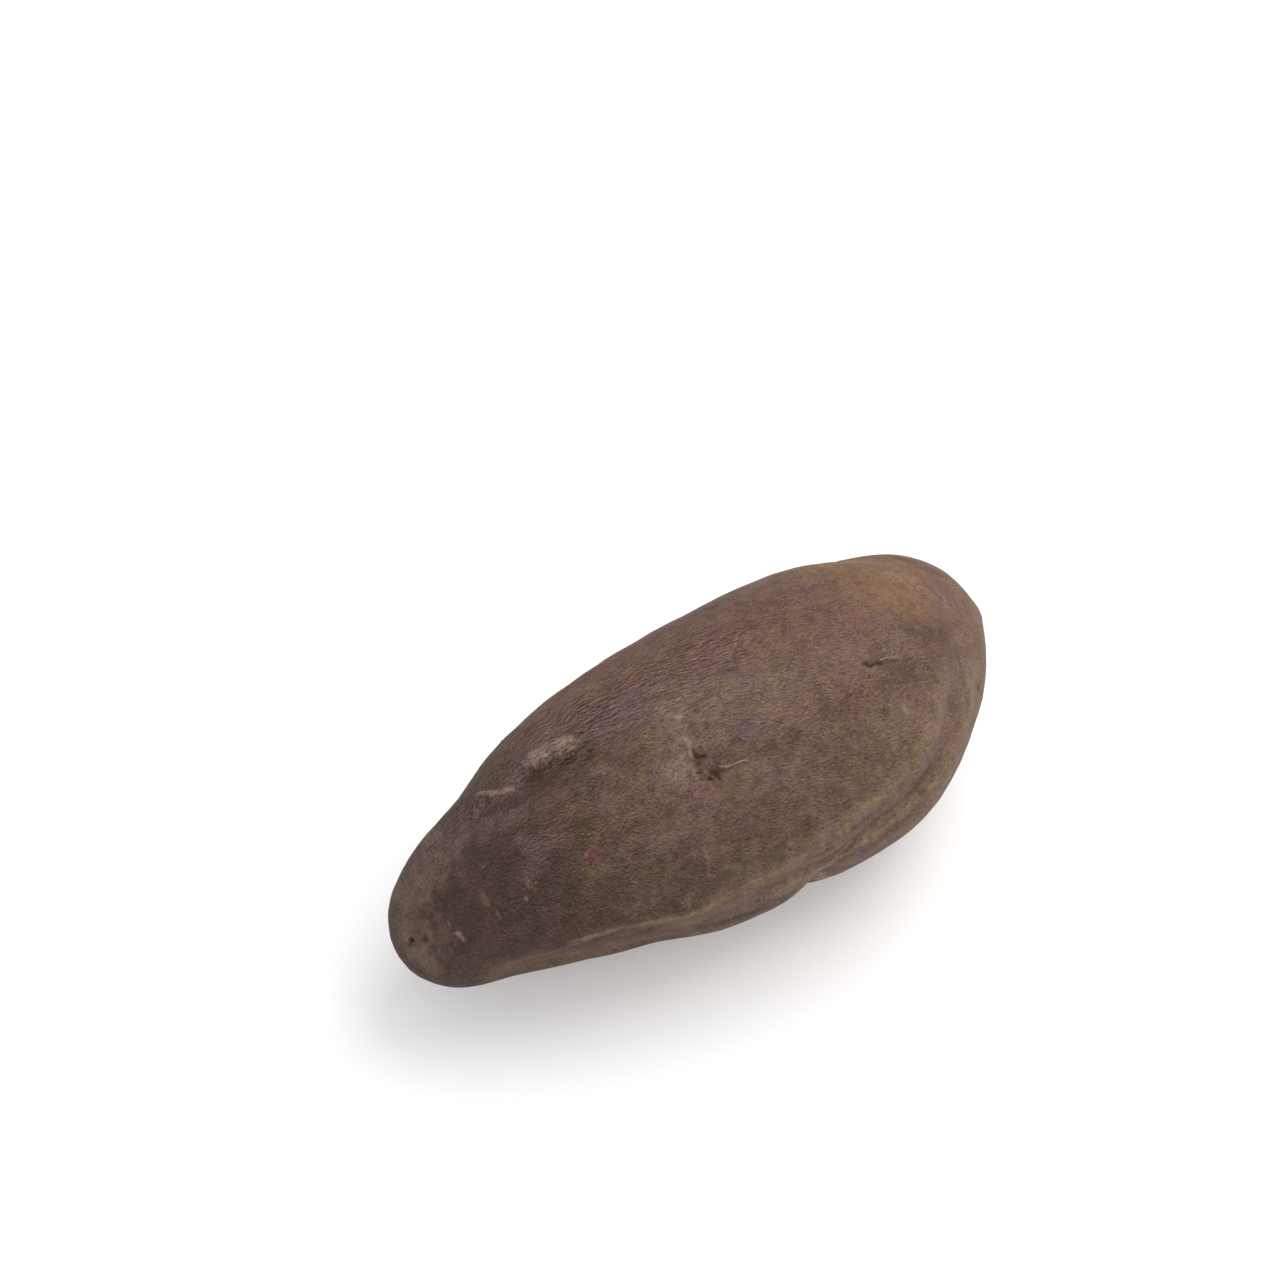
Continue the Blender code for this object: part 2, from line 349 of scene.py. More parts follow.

# %% [markdown]
# ## Stains
#
# The skin isn't one colour. Over a dull brown lie warm tan where the light bleached it, rosy mauve where
# it is thin, greyish olive, and dark purple-brown. In the hollows by the two scars and along the long hollow
# this dark, with a broad stroke of crack colour, is painted shade; elsewhere it is the skin's own. Over the
# notch below the lower fold a pale stroke is painted light. The stains could be painted as a picture, but
# the stroke already says everything that a stain needs: how strong it is, how far it reaches and the places
# that it passes. A vertex keeps how much of each stain it has as an attribute, which the material reads.
# For the broad stains the vertices are shifted by noise before they ask, so that none has a round edge.
# The sharp ones have to lie exactly on their fold, scar or crack, so for them the vertices aren't shifted,
# and many share the path of the scar or the crack.

# %% Stain the skin along strokes
PATHS = {name: stroke[2] for name, stroke in {**FOLDS, **SCARS, **EYES_AND_PITS}.items()}
STAINS = {
    "warm": (
        (1.1, 20, ((-18, 88), (4, 82), (28, 86))),
        (0.8, 6, ((-16, 50), (-8, 48), (0, 46))),
    ),
    "russet": (
        (1.0, 8, ((-34, 132), (-20, 126), (-4, 122), (12, 118), (24, 110))),
        (0.9, 6, ((20, 102), (28, 96), (34, 88))),
        (0.8, 5, ((30, 110), (36, 104))),
        (0.7, 5, ((18, 84), (26, 80), (32, 76))),
        (0.8, 3, ((-18, 55), (-15, 51))),
        (0.6, 4, ((-48, 72), (-45, 68))),
        (0.7, 14, ((30, 160), (-20, 160))),
    ),
    "plum": (
        (0.65, 6, ((-54, 118), (-58, 113), (-62, 102))),
        (1.0, 12, ((-66, 80), (-62, 60), (-62, 30), (-58, 10))),
        (0.9, 8, ((-72, 30), (-74, 0), (-70, -30))),
        (0.9, 5, ((-56, 52), (-52, 56), (-52, 44), (-50, 26), (-52, 14))),
        (0.9, 3, ((-30, -22), (-16, -21), (-11, -18), (-6, -17))),
        (0.5, 5, ((0, 48), (8, 42), (12, 48))),
        (0.7, 16, ((-50, 200), (-20, 205), (10, 210))),
    ),
    "brown": (
        (1.0, 7, ((46, 70), (53, 62), (54, 50), (50, 44))),
        (1.0, 4.5, ((32, 55), (38, 52), (44, 52))),
        (0.7, 4, ((-44, 102), (-42, 92), (-30, 88), (-26, 78))),
        (0.7, 5, ((-10, 24), (0, 22), (10, 24))),
        (0.6, 3.5, ((14, 56), (20, 50))),
        (0.6, 3, ((-12, 64), (-10, 58))),
        (0.7, 14, ((-10, -60), (30, -60))),
    ),
    "rust": (
        (0.9, 4.5, ((-44, 144), (-32, 146), (-20, 147), (-4, 141), (8, 140), (22, 134))),
        (0.9, 4, ((66, 126), (70, 112))),
    ),
    "mauve": (
        (0.8, 5, ((-30, 122), (-22, 116), (-16, 112))),
        (0.8, 4, ((-22, 140), (-16, 134))),
        (0.8, 3.5, ((0, 108), (6, 112), (10, 110))),
        (0.8, 3.5, ((16, 108), (24, 112))),
        (0.8, 4, ((-8, 102), (-2, 98), (4, 94))),
        (0.7, 4, ((66, 104), (68, 92), (66, 82))),
        (0.4, 4, ((-52, 68), (-48, 62))),
        (0.4, 4, ((38, 40), (36, 46))),
        (0.6, 12, ((10, 180), (40, 190))),
    ),
    "lilac": (
        (0.9, 7, ((-28, 109), (-20, 103), (-12, 98))),
        (0.8, 5, ((-6, 92), (2, 88))),
        (0.9, 5, ((-6, 73), (-3, 67))),
        (0.9, 3.5, ((-54, 84), (-52, 76))),
        (0.7, 4, ((-38, 84), (-34, 88))),
        (0.7, 3, ((-39, 19), (-36, 14))),
        (0.6, 4, ((-26, 28), (-22, 32))),
        (0.7, 5, ((-38, 116), (-30, 106))),
        (0.6, 8, ((-70, 158), (-66, 146), (-60, 138))),
        (0.5, 4, ((-54, 38),)),
        (0.6, 3, ((-50, 87),)),
        (0.8, 5, ((-55, 132), (-50, 126), (-42, 125), (-38, 121))),
        (0.8, 4, ((-55, 113), (-51, 110))),
        (0.7, 4, ((-55, 72), (-53, 70))),
        (0.8, 5, ((-33, 43), (-29, 39))),
        (0.7, 5, ((-24, 115),)),
        (0.6, 6, ((-3, 36), (-8, 47))),
        (0.6, 5, ((12, 49),)),
        (0.5, 4, ((-31, 58),)),
        (0.7, 5, ((-58, 124), (-55, 138))),
    ),
    "grey": (
        (1.0, 7, ((-14, 95), (-12, 86), (-12, 78))),
        (1.0, 6, ((25, 39), (30, 40))),
        (0.8, 3, ((-12, 53),)),
        (0.5, 6, ((28, 87),)),
        (0.6, 8, ((-70, 147), (-75, 157), (-80, 172), (-81, -155))),
        (0.75, 4.5, ((-71, 142), (-72, 148), (-76, 150))),
        (0.8, 4, ((-81, -156), (-81, -150))),
        (0.6, 4, ((-65, 140), (-65, 147))),
        (0.6, 4, ((-66, 160), (-66, 166))),
        (0.75, 4.5, ((-80, -72), (-81, -98))),
        (0.6, 4, ((3, 94),)),
        (0.8, 4, ((-4, 82), (4, 80))),
        (0.8, 4, ((4, 72), (12, 76))),
        (0.9, 4, ((-21, 73), (-23, 68), (-20, 62))),
        (1.0, 5, ((-12, 79), (-8, 78))),
        (0.8, 6, ((-6, 88), (-2, 86))),
        (0.6, 6, ((27, 31), (36, 30), (45, 28))),
        (0.5, 3.5, ((-34, 64),)),
        (0.7, 3, ((-22, 46), (-20, 40))),
        (0.7, 2.5, ((35, 67), (38, 64))),
        (0.6, 12, ((-60, -90), (-20, -110))),
    ),
    "olive": (
        (0.7, 4, ((-35, 68), (-32, 64))),
        (0.7, 3, ((-43, 84), (-43, 76))),
        (0.8, 2.2, ((-44, 67), (-42, 62))),
        (0.8, 2.0, ((-46.3, 50), (-45.8, 41), (-43, 44))),
        (0.7, 3, ((-13, 78), (-12, 72))),
        (0.8, 5, ((-14, 51), (-9, 48))),
        (0.7, 4, ((-30, 43), (-22, 41))),
        (0.8, 3, ((-44, -6), (-34, -6), (-26, -6), (-16, -1), (-6, 1))),
        (0.8, 3.5, UPPER_FOLD),
        (0.8, 7, ((34, 34), (46, 34), (56, 30), (62, 18))),
        (0.7, 5, ((26, 42), (34, 40))),
        (0.7, 5, ((66, 60), (70, 46), (66, 34))),
        (0.8, 8, ((-66, -50), (-50, -46), (-26, -46))),
        (0.4, 7, ((-72, 162), (-78, 176))),
        (0.6, 12, ((20, -90), (50, -80))),
    ),
    "tan": (
        (1.0, 12, ((44, 120), (52, 114), (54, 102), (48, 95))),
        (0.8, 7, ((60, 116), (60, 98), (54, 88))),
        (0.6, 6, ((44, 84), (54, 80), (60, 84))),
        (0.5, 4, ((10, 100), (14, 94))),
        (0.5, 3, ((30, 41), (33, 37))),
        (0.6, 5, ((72, 72), (72, 50))),
        (0.5, 3, ((52, 76), (54, 75))),
        (0.7, 8, ((56, 140), (66, 170))),
    ),
    "worn": (
        (0.7, 1.4, UPPER_FOLD_START),
        (1.1, 1.9, UPPER_FOLD),
        (1.0, 3.2, UPPER_FOLD_END),
        (1.1, 2.0, LOWER_FOLD),
        (0.9, 2.6, LOWER_FOLD_END),
        (1.0, 2.2, ((35, 7), (39, 5))),
        (1.0, 2.4, ((-7, -10), (0, -10), (4, -11))),
    ),
    "dark": (
        # Painted shade in the hollows by the big scar and the small scar.
        (1.1, 3.2, ((-44, 114), (-41, 110), (-38, 105), (-34, 104))),
        (0.8, 1.8, ((-56, 132), (-53, 124), (-50, 116))),
        (0.8, 5, ((-32, 4), (-29, 9), (-29, 20), (-29, 26))),
        (0.52, 12, ((-50, 10), (-26, 12), (-2, 21))),
        (0.8, 5, ((-55, 5), (-49, 8))),
        (0.6, 3.5, ((-37, 6), (-32, 6))),
        (0.9, 4, ((-51, -6), (-49, -6))),
        (0.7, 3.5, ((-7, 22), (-4, 21))),
        (0.7, 3.5, ((3, 20), (5, 20))),
        (0.5, 4, ((-40, 86), (-37, 84))),
        (0.4, 4, ((60, 75),)),
        (0.4, 3, ((-25, 54),)),
        (0.5, 4, ((-31, 98),)),
        (0.7, 5, ((-27, 5), (-22, 9), (-16, 13))),
        (0.6, 8, ((-68, 2), (-60, 10))),
        (0.5, 4, ((-66, 90), (-60, 66))),
        (0.7, 2.8, ((-43, 70), (-42, 65))),
        (0.7, 4, ((-41, -12), (-36, -12))),
        (0.8, 3.2, ((-19, -20), (-13, -20))),
        # Painted shade at the lower end of the hollow by the big scar.
        (0.6, 4, ((-41, 104), (-38, 101))),
        (0.8, 5, ((-36, -44), (-30, -44))),
        (0.8, 5, ((-22, 152), (-18, 152))),
        (0.6, 4, ((14, 137), (19, 136))),
        (0.7, 5, ((47, 47),)),
        (0.7, 4, ((53, 11),)),
        (0.6, 4, ((32, 63),)),
        (0.9, 7.5, ((87, 0),)),
        (0.5, 3, ((-48, 56), (-46, 60))),
        # Painted shade along the long hollow.
        (0.7, 2.4, ((-6, 57), (0, 55), (6, 53))),
        (0.7, 1.8, ((34, 14), (38, 17), (41, 21))),
        (0.4, 1.8, ((41, 21), (45, 27), (50, 37))),
        (0.5, 3, ((14, -18), (30, -11), (44, -2))),
        (0.5, 2.5, ((-40, 96), (-34, 94))),
        (0.5, 12, ((-40, 190), (-66, 200))),
    ),
    "umber": (
        (1.0, 2.0, ((-16, 65), (-16, 60), (-15, 58))),
        (0.6, 1.6, ((-44.5, 69), (-43, 64))),
        (0.7, 1.3, ((28, 65), (31, 63))),
        (0.7, 1.3, ((-3, -3), (3, -4), (8, -1), (13, 2), (19, 6), (27, 9), (33, 14))),
        (0.5, 1.4, ((-13, -5), (-6, -5))),
        (0.7, 0.8, ((17, 34),)),
        (0.8, 0.9, ((-28, 66),)),
        (0.5, 0.8, ((-20, -12),)),
        (0.9, 1.2, ((-81, -84), (-80.5, -79))),
        (0.8, 1.7, ((-40, -9), (-38, -9))),
        *((0.7, 1.6, (place,)) for place in FAR_EYES),
    ),
    "pale": (
        (1.1, 2.3, ((-42, 121), (-40, 119))),
        (1.0, 2.3, ((-40, 118.5), (-37, 115), (-35, 113))),
        (0.65, 1.2, ((-35, 113), (-33, 109.5))),
        (0.5, 1.2, ((-48, 126), (-44, 124))),
        (0.8, 0.8, PATHS["small scar"]),
        (0.5, 0.9, PATHS["upright scar"]),
        (0.6, 0.9, PATHS["upright scar's side"]),
        (0.5, 2.6, ((-23, 66), (-22, 62))),
        (0.7, 1.2, ((-14, 87), (-14.5, 82))),
        (0.7, 1.0, ((-16, 77), (-16, 74))),
        (0.6, 0.6, ((-17, 72), (-17.2, 69))),
        (0.7, 1.1, PATHS["wart"]),
        (0.7, 0.7, PATHS["crown blob"]),
        (0.5, 0.7, ((36, 67), (38.5, 65))),
        (0.55, 0.8, UPPER_FOLD),
        (0.6, 0.7, UPPER_FOLD_START),
        (0.5, 0.7, ((-66, -34), (-58, -28), (-52, -12), (-46, -4))),
        (0.6, 0.8, LOWER_FOLD),
        # Painted light over the notch below the lower fold, where the notch shades itself.
        (0.9, 2.5, ((7, -28), (8, -33))),
        (0.5, 2.0, ((-13.5, 54.5), (-12.5, 53.5))),
        (0.45, 2.6, ((-12, 78),)),
        (0.5, 5, ((55, 102), (57, 98))),
        (0.4, 2.6, ((-36, 17),)),
        (0.6, 0.8, ((64, 84), (62, 73))),
        (0.6, 0.6, ((-44, 54), (-45, 53))),
        (0.6, 0.7, ((-57.5, 55), (-57.5, 50))),
        (0.7, 0.7, ((-59, 43), (-59, 39))),
        (0.5, 0.8, ((-74, 70), (-74, 50))),
        (0.8, 0.6, ((-73.5, 22), (-73, 12), (-73, 2))),
        (0.5, 0.7, ((-66, 72), (-66, 62), (-66, 52))),
        (0.5, 0.6, ((-65, 39), (-65, 27))),
        (0.5, 0.6, ((-63, 109), (-63, 97))),
        (0.7, 1.6, PATHS["back scar"]),
        (0.6, 1.2, PATHS["end scar"]),
        (0.6, 1.5, PATHS["under scar"]),
    ),
    "sap": (
        (0.8, 1.2, ((-46, 50), (-46, 41), (-44, 38), (-42, 44))),
        (0.7, 1.4, ((-43.5, 66), (-42, 61))),
        (0.7, 1.2, ((-57, 59), (-57, 52))),
        (0.6, 1.2, ((-66, 70), (-66, 54))),
    ),
    "rose": ((1.2, 1.8, ((-43.5, 51), (-43.5, 48))),),
    "crack": (
        (0.55, 0.4, PATHS["eye's thin crack"]),
        (0.9, 0.4, PATHS["eye's crack"]),
        (0.7, 0.45, PATHS["eye's arcs"]),
        (0.7, 0.4, PATHS["eye's lower arc"]),
        (0.6, 0.4, PATHS["eye's side arc"]),
        (0.7, 0.5, ((-12, 62),)),
        (0.5, 0.4, ((-14, 57.3), (-12, 56))),
        (0.7, 0.4, PATHS["crown eye's crack"]),
        (0.8, 0.5, PATHS["crown dot"]),
        (1.4, 0.8, PATHS["tail pit"]),
        (1.3, 0.8, PATHS["edge pit"]),
        (0.7, 0.45, PATHS["first slot"]),
        (0.6, 0.4, ((27, 5), (28, 5.5), (30, 7))),
        (1.2, 0.7, PATHS["low pit"]),
        (0.5, 0.5, ((17, 34),)),
        (0.6, 0.4, PATHS["fine crack"]),
        (0.5, 0.4, PATHS["short crack"]),
        (0.7, 0.5, ((-5, 25),)),
        # Painted shade, broad, in the hollow by the big scar.
        (0.5, 3.5, ((-41, 107), (-37, 104))),
        (0.4, 4, ((-29, 8),)),
        (0.6, 0.4, PATHS["low crumb's crack"]),
        *((1.0, 0.6, PATHS[f"far eye {number}"]) for number in range(len(FAR_EYES))),
    ),
}
SHARP_STAINS = ("worn", "dark", "umber", "pale", "sap", "rose", "crack")
STAIN_SHIFTS = ((12 * MM, 2 * MM), (4 * MM, 1.2 * MM))  # size of the noise, and how far it shifts a vertex
STAIN_SEED = 1  # without one, this noise is seeded from the clock and no two runs are the same


def shifted(points, shifts):
    """The points moved about by noise of each size."""
    moved = points.copy()
    for size, shift in shifts:
        moved += shift * np.array([noise.noise_vector(Vector(point) / size) for point in points])
    return moved


noise.seed_set(STAIN_SEED)
wandering = shifted(points, STAIN_SHIFTS)
stains = {}
for stain, strokes in STAINS.items():
    where = points if stain in SHARP_STAINS else wandering
    stains[stain] = np.max([strength * nearness(where, *stroke) for strength, *stroke in strokes], axis=0)
for stain, amount in stains.items():
    skin.data.attributes.new(stain, "FLOAT", "POINT").data.foreach_set("value", amount)
    print(stain, "covers", round(100 * (amount > 0.5).mean()), "% of the skin")

# %% [markdown]
# ## Fibres and lumps
#
# Short raised fibres run lengthwise under the skin, a millimetre or two apart, and the whole body is a
# little lumpy. Hundreds of strokes could draw them, but noise that is stretched along the root gives as many
# in one line. The fibres are strongest high on the back of the narrow half, where the skin looks combed, and
# on the tail. They are weaker on the tan crown, the folds and the scars, where the skin is taut and smooth,
# and at both ends.

# %% Add the fibres and the lumps, and move the skin
LUMPS = ((9 * MM, 0.22 * MM), (3.6 * MM, 0.07 * MM))  # size and height
FIBRE_SIZE = (6.5 * MM, 1.5 * MM, 1.5 * MM)
FIBRE_HEIGHT = 0.10 * MM
COMBED = (15, ((-36, 128), (-18, 118), (2, 113)))  # reach in millimetres, and places
TAUT = {"tan": 0.9, "worn": 0.8, "pale": 0.8}  # how taut the skin is where each stain is whole
ENDS = (66 * MM, 80 * MM)  # from the middle, where the fibres start to weaken and where they are weakest
TAIL = (-55 * MM, -20 * MM)  # along the root, where the tail's own fibres are whole and gone
FLAT_SPOT_EDGE = 1.5 * MM  # the relief fades out below this height, so that the root still rests flat


def eased(value, low, high):
    """0 below low, 1 above high, and a smooth rise between them."""
    share = np.clip((value - low) / (high - low), 0, 1)
    return share * share * (3 - 2 * share)


for size, height in LUMPS:
    rise += height * noise_at(points, size)
combed = nearness(points, *COMBED)
taut = np.clip(sum(share * stains[stain] for stain, share in TAUT.items()), 0, 1)
near_ends = eased(np.abs(points[:, 0]), *ENDS)
on_tail = 1 - eased(points[:, 0], *TAIL)
fibrous = (0.38 + 0.62 * combed + 0.45 * on_tail) * (1 - 0.6 * taut) * (1 - 0.3 * near_ends)
rise += FIBRE_HEIGHT * fibrous * noise_at(points, FIBRE_SIZE)
fold_lines = [path_on_skin(line) for line in (UPPER_FOLD, UPPER_FOLD_END, LOWER_FOLD, LOWER_FOLD_END)]
from_fold = np.min([distance_to(points, line) for line in fold_lines], axis=0) / MM
for name, value in (("fibrous", fibrous), ("combed", combed), ("from_fold", from_fold)):
    skin.data.attributes.new(name, "FLOAT", "POINT").data.foreach_set("value", value)

rise *= eased(points[:, 2], 0, FLAT_SPOT_EDGE)
surface = points + outwards * rise[:, None]
surface[:, 2] = np.maximum(surface[:, 2], 0)
skin.data.vertices.foreach_set("co", surface.ravel())
skin.data.update()
select_only(skin)
bpy.ops.object.shade_smooth()
print("relief in all, mm:", round(rise.min() / MM, 2), "to", round(rise.max() / MM, 2))

# %% [markdown]
# ## Shader maths
#
# A finish is a tree of nodes. Wired by hand, a sum of two noises takes a dozen lines, so a small class
# wraps a socket and lets Python's own signs add the Math nodes. Every other node comes from one method,
# which takes the kind of node, its settings and what goes into its sockets. A few helpers name what the
# finishes do most: noise with a grain of a real size, a colour made darker, a colour laid over another.

# %% Wrap the sockets


class Wire:
    """An output socket. Signs on it add Math nodes, and node() adds any other node to its tree."""

    def __init__(self, tree, socket=None):
        self.tree = tree
        self.socket = socket

    def node(self, kind, settings, inputs, output=0):
        """Adds a node, sets it up, then gives its sockets their values or links, and returns an output."""
        added = self.tree.nodes.new("ShaderNode" + kind)
        for name, value in settings.items():
            setattr(added, name, value)
        for name, value in inputs.items():
            if isinstance(value, Wire):
                self.tree.links.new(value.socket, added.inputs[name])
            else:
                added.inputs[name].default_value = value
        return Wire(self.tree, added.outputs[output]) if len(added.outputs) else None

    def maths(self, operation, first, second):
        return self.node("Math", {"operation": operation}, {0: first, 1: second})

    def __add__(self, other):
        return self.maths("ADD", self, other)

    def __sub__(self, other):
        return self.maths("SUBTRACT", self, other)

    def __rsub__(self, other):
        return self.maths("SUBTRACT", other, self)

    def __mul__(self, other):
        return self.maths("MULTIPLY", self, other)

    __radd__ = __add__
    __rmul__ = __mul__

    def limited(self, low, high):
        """The same, but never under low or over high."""
        return self.node("Clamp", {}, {"Value": self, "Min": low, "Max": high})

    def eased(self, low, high):
        """0 below low, 1 above high, and a smooth rise between them."""
        limits = {"From Min": low, "From Max": high}
        return self.node("MapRange", {"interpolation_type": "SMOOTHSTEP"}, {"Value": self, **limits})


def new_finish(name):
    """A material with an empty tree, and a wire to start from."""
    material = bpy.data.materials.new(name)
    material.use_nodes = True
    material.node_tree.nodes.clear()
    return material, Wire(material.node_tree)


def noise_on(wire, vector, grain, detail=3, roughness=0.5):
    """Noise from about 0.2 to 0.8, with grains of a size in metres."""
    sockets = {"Vector": vector, "Scale": 1 / grain, "Detail": detail, "Roughness": roughness}
    return wire.node("TexNoise", {}, sockets)


def stretched(wire, vector, factors):
    """The vector with each of its parts multiplied."""
    return wire.node("VectorMath", {"operation": "MULTIPLY"}, {0: vector, 1: factors})


def dimmed(colour, factor):
    """A colour made darker or lighter by a factor."""
    return colour.node("VectorMath", {"operation": "SCALE"}, {0: colour, "Scale": factor})


def laid_over(below, mask, above):
    """A colour with another colour laid over it where the mask is 1."""
    return mask.node("Mix", {"data_type": "RGBA"}, {0: mask, 6: below, 7: above}, output=2)


print("signs that add Math nodes: +, - and *")

# %% [markdown]
# ## The skin's fibres
#
# Between the raised fibres lie finer ones, each a dash too small for the mesh: a millimetre or so long and
# less than half a millimetre wide, and longer and wider where the skin is combed, with finer grit between.
# A painted picture could show them, but noise stays sharp from near. They wind round the root a little, so
# the noise is turned more and more along it. Each dash has painted light on its upper side and painted shade
# on its lower side. The difference between the noise and the same noise turned a hair further round gives
# both sides. Streaks run along the two folds instead, so their noise reads how far a point is from the fold.

# %% Comb the fibres
DASH = (1.3 * MM, 0.42 * MM, 0.42 * MM)
LONG_DASH = (2.0 * MM, 0.7 * MM, 0.7 * MM)  # where the skin is combed
DASH_NOISE = {"Scale": 1, "Detail": 4, "Roughness": 0.6}
GRIT = 0.6 * MM
ROOT_MIDDLE = (0, 2 * MM, 32 * MM)
TWIST = (-9, 35)  # radians for each metre along the root, and how that grows
HAIR_TURN = 0.009  # radians, a third of a millimetre on the skin
STREAK = 0.9  # width in millimetres
STREAK_LENGTH = 20 * MM


def fibres_on(start, place, angle, combed):
    """Noise in dashes, long where the skin is combed and short with grit elsewhere, turned by an angle."""
    sockets = {"Vector": place, "Center": ROOT_MIDDLE, "Angle": angle}
    wound = start.node("VectorRotate", {"rotation_type": "X_AXIS"}, sockets)
    dashes = [stretched(start, wound, [1 / size for size in dash]) for dash in (DASH, LONG_DASH)]
    short, long = [start.node("TexNoise", {}, {"Vector": dash, **DASH_NOISE}) for dash in dashes]
    return short * (1 - combed) + long * combed * 2 + noise_on(start, wound, GRIT) * (1 - combed * 0.5)


def streaks_on(start, place, from_fold):
    """Noise in long streaks that follow the folds."""
    sockets = {"Vector": place, "Scale": 1 / STREAK_LENGTH, "Detail": 2, "W": from_fold * (1 / STREAK)}
    return start.node("TexNoise", {"noise_dimensions": "4D"}, sockets)


def specks_on(start, place, spacing, radius, share):
    """Round specks, one in each cell of a spacing, of which only a share is kept."""
    sockets = {"Vector": place, "Scale": 1 / spacing}
    distance = start.node("TexVoronoi", {}, sockets, "Distance")
    cell_colour = start.node("TexVoronoi", {}, sockets, "Color")
    chance = start.node("SeparateXYZ", {}, {"Vector": cell_colour}, "X")
    speck = 1 - distance.eased(0.6 * radius / spacing, radius / spacing)
    return speck * (1 - chance.eased(share, share + 0.01))


print("dashes, mm:", [round(size / MM, 1) for size in DASH])

# %% [markdown]
# ## The skin's colours
#
# The colour starts from a dull brown, darkest at the tail, and the stains are laid over it one after the
# other. Each stain's attribute is soft, so noise is added before a smooth step cuts its edge, which breaks
# the edge up as real stains are. The purple flesh shows through the thin skin in small patches, so lilac
# and mauve mottling goes over the stains, with some olive. The two folds get their pale and dark streaks.

# %% Stain, mottle and streak the colour
TAIL_BROWN = (0.066, 0.040, 0.032, 1)
MIDDLE_BROWN = (0.116, 0.071, 0.050, 1)
CROWN_BROWN = (0.148, 0.080, 0.050, 1)
STAIN_COLOURS = {
    "warm": (0.160, 0.096, 0.069, 1),
    "russet": (0.146, 0.076, 0.055, 1),
    "plum": (0.063, 0.038, 0.032, 1),
    "brown": (0.098, 0.055, 0.038, 1),
    "rust": (0.116, 0.053, 0.032, 1),
    "mauve": (0.137, 0.069, 0.063, 1),
    "lilac": (0.136, 0.080, 0.079, 1),
    "grey": (0.174, 0.118, 0.088, 1),
    "olive": (0.126, 0.080, 0.045, 1),
    "tan": (0.188, 0.104, 0.052, 1),
    "worn": (0.166, 0.109, 0.060, 1),
    # Dark purple-brown skin, and painted shade in the hollows by the scars and along the long hollow.
    "dark": (0.056, 0.034, 0.022, 1),
    "umber": (0.058, 0.032, 0.015, 1),
    # Pale scars and spots, and painted light over the notch below the lower fold.
    "pale": (0.275, 0.190, 0.152, 1),
    "sap": (0.124, 0.082, 0.046, 1),
    "rose": (0.136, 0.055, 0.058, 1),
    # Near black in the cracks and pits, and painted shade in the hollow by the big scar.
    "crack": (0.030, 0.016, 0.009, 1),
}
SHADE = (0.032, 0.017, 0.013, 1)
LIGHT = (0.300, 0.195, 0.145, 1)
STAIN_EDGE = (0.2, 1.0)  # amounts of a stain where it starts to show and where it covers
RAGGED_BROAD = 0.5  # how much the noise moves the edge of a broad stain
RAGGED_SHARP = 0.4
SUM_EDGE = (0.95, 1.15)  # of two noises, where a mottled patch starts to show and where it is whole
DIFFERENCE_EDGE = (0.0, 0.2)
STREAKED = (3, 7)  # millimetres from a fold, where the streaks start and stop fading out
PALE_STREAK = (0.45, 0.65)  # of the streaks' noise, where a streak starts to show and where it is whole
DARK_STREAK = (0.5, 0.7)
STREAK_STRENGTH = 0.3


def stained(amount, broken, from_tail, to_crown):
    """The dull brown with every stain laid over it."""
    colour = laid_over(TAIL_BROWN, from_tail, MIDDLE_BROWN)
    colour = laid_over(colour, to_crown, CROWN_BROWN)
    for stain, stain_colour in STAIN_COLOURS.items():
        ragged = RAGGED_SHARP if stain in SHARP_STAINS else RAGGED_BROAD
        colour = laid_over(colour, (amount[stain] + broken * ragged).eased(*STAIN_EDGE), stain_colour)
    return colour


def mottled(colour, noises, tan, from_tail):
    """The colour with small lilac, mauve and olive patches, faintest at the tail and on the tan crown."""
    share = (from_tail * 0.35 + 0.15) * (1 - tan * 0.7)
    lilac = (noises["mottle"] + noises["coarse"]).eased(*SUM_EDGE) * share
    mauve = (noises["mottle"] - noises["coarse"]).eased(*DIFFERENCE_EDGE) * share
    olive = (noises["patches"] + noises["coarse"]).eased(*SUM_EDGE) * from_tail * 0.45
    for hue, mask in (("lilac", lilac), ("mauve", mauve), ("olive", olive)):
        colour = laid_over(colour, mask, STAIN_COLOURS[hue])
    return colour


def streaked(colour, start, place, from_fold):
    """The colour with pale and dark streaks along the folds."""
    near_fold = 1 - from_fold.eased(*STREAKED)
    streaks = streaks_on(start, place, from_fold)
    pale = streaks.eased(*PALE_STREAK) * near_fold * STREAK_STRENGTH
    dark = (1 - streaks).eased(*DARK_STREAK) * near_fold * STREAK_STRENGTH
    return laid_over(laid_over(colour, pale, STAIN_COLOURS["pale"]), dark, SHADE)


print("colours of the skin:", len(STAIN_COLOURS), "stains over 3 browns")

# %% [markdown]
# ## The skin's finish
#
# The skin is dry, dull and thin as paper, and it hardly shines. So no gloss shows its texture, only small
# differences of light and dark. The finish takes the colour, lays painted light on the upper side of each
# fibre and painted shade on its lower side, and varies it by uneven grains and by a few specks. A bump gives
# the fibres and the grains their relief.

# %% Make the skin's finish
NOISES = {  # grain, detail and roughness
    "patches": (12 * MM, 4, 0.55),
    "mottle": (7 * MM, 5, 0.6),
    "coarse": (4 * MM, 4, 0.6),
    "grain": (1.8 * MM, 4, 0.65),
    "fine": (0.6 * MM, 3, 0.5),
}
FROM_TAIL = (-72 * MM, -14 * MM)  # along the root, where the tail's brown and the middle's are whole
TO_CROWN = (0, 60 * MM)  # along the root, where the crown's brown starts and where it is whole
# The sides of the fibres get painted light and painted shade, this strong and within these limits.
FIBRE_CONTRAST = 3.4
FIBRE_SHADES = (0.35, 2.2)  # the darkest and the lightest that a side of a fibre may be
DARK_SPECKS = (7 * MM, 0.5 * MM, 0.45)  # spacing, radius, and the share that is kept
PALE_SPECKS = (9 * MM, 0.45 * MM, 0.45)
BUMP_HEIGHT = 0.22 * MM


